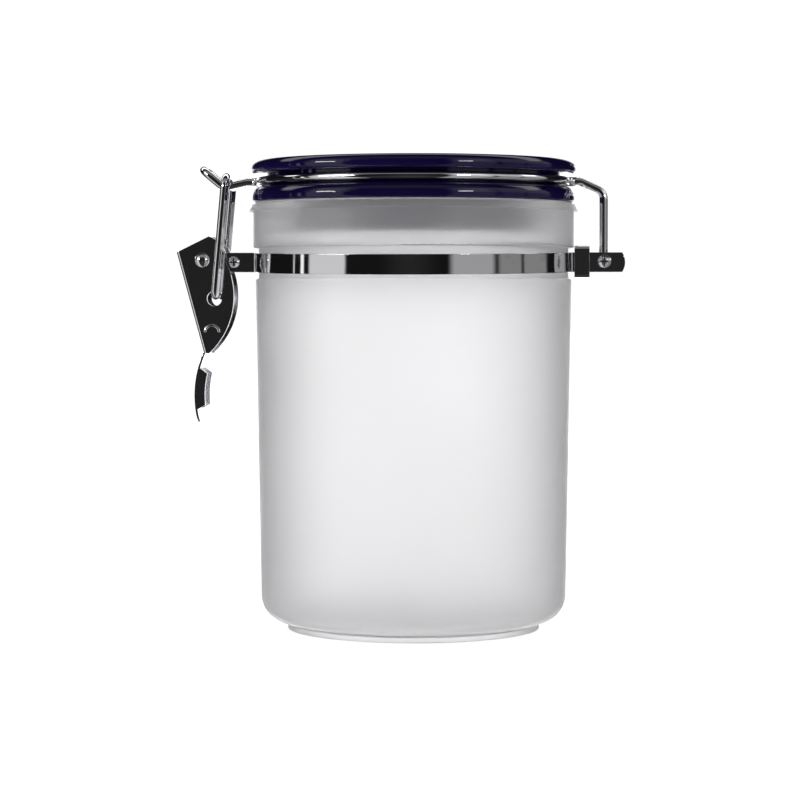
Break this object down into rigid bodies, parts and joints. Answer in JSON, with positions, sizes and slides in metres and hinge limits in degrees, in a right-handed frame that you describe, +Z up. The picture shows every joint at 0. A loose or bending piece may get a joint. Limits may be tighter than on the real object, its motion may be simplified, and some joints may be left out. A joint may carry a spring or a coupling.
{
  "type": "clamp-lid canister",
  "caption": "Round frosted storage canister with a clamp-down lid: wire hinge, steel strap, over-centre lever and link.",
  "frame": {"origin": "centre of the foot ring's underside, on the canister's axis", "axes": "+Z up along the canister's axis; latch at -X, lid hinge at +X; +Y completes the right-handed frame"},
  "size_m": [0.1854, 0.1358, 0.193],
  "materials": {
    "frosted_plastic": "frosted, translucent, satin",
    "lid_plastic": "glossy dark navy blue",
    "seal_rubber": "thin translucent grey silicone",
    "wire_steel": "bright nickel-chrome plated wire",
    "strap_steel": "polished strip, bright plated",
    "lever_steel": "pressed sheet, bright plated",
    "screw_steel": "bright plated screws, nuts and rivet"
  },
  "bodies": {
    "canister": {"canister_body": "frosted_plastic", "strap_front_half": "strap_steel", "strap_rear_half": "strap_steel", "strap_collar": "strap_steel", "hinge_screw": "screw_steel", "hinge_nut": "screw_steel", "hinge_spacer": "screw_steel", "latch_screw": "screw_steel", "latch_nut": "screw_steel", "latch_spacer": "screw_steel"},
    "bail": {"lid_wire": "wire_steel"},
    "lid": {"lid_base": "lid_plastic", "lid_cap": "lid_plastic", "lid_gasket": "seal_rubber"},
    "lever": {"lever": "lever_steel", "lever_rivet": "screw_steel", "pivot_spacer": "screw_steel"},
    "link": {"latch_link": "wire_steel"}
  },
  "joints": [
    {"name": "lid_hinge", "type": "hinge", "parent": "canister", "child": "bail", "pos_m": [0.0788, 0, 0.1516], "axis": [0, 1, 0], "range_deg": [0, 190]},
    {"name": "lid_turn", "type": "hinge", "parent": "bail", "child": "lid", "pos_m": [0, 0, 0.1844], "axis": [0, 0, 1], "continuous": true},
    {"name": "lever_pivot", "type": "hinge", "parent": "canister", "child": "lever", "pos_m": [-0.0872, 0, 0.1522], "axis": [0, 1, 0], "range_deg": [0, 140]},
    {"name": "link_swing", "type": "hinge", "parent": "bail", "child": "link", "pos_m": [-0.0769, 0, 0.1865], "axis": [0, 1, 0], "range_deg": [0, 60]}
  ]
}
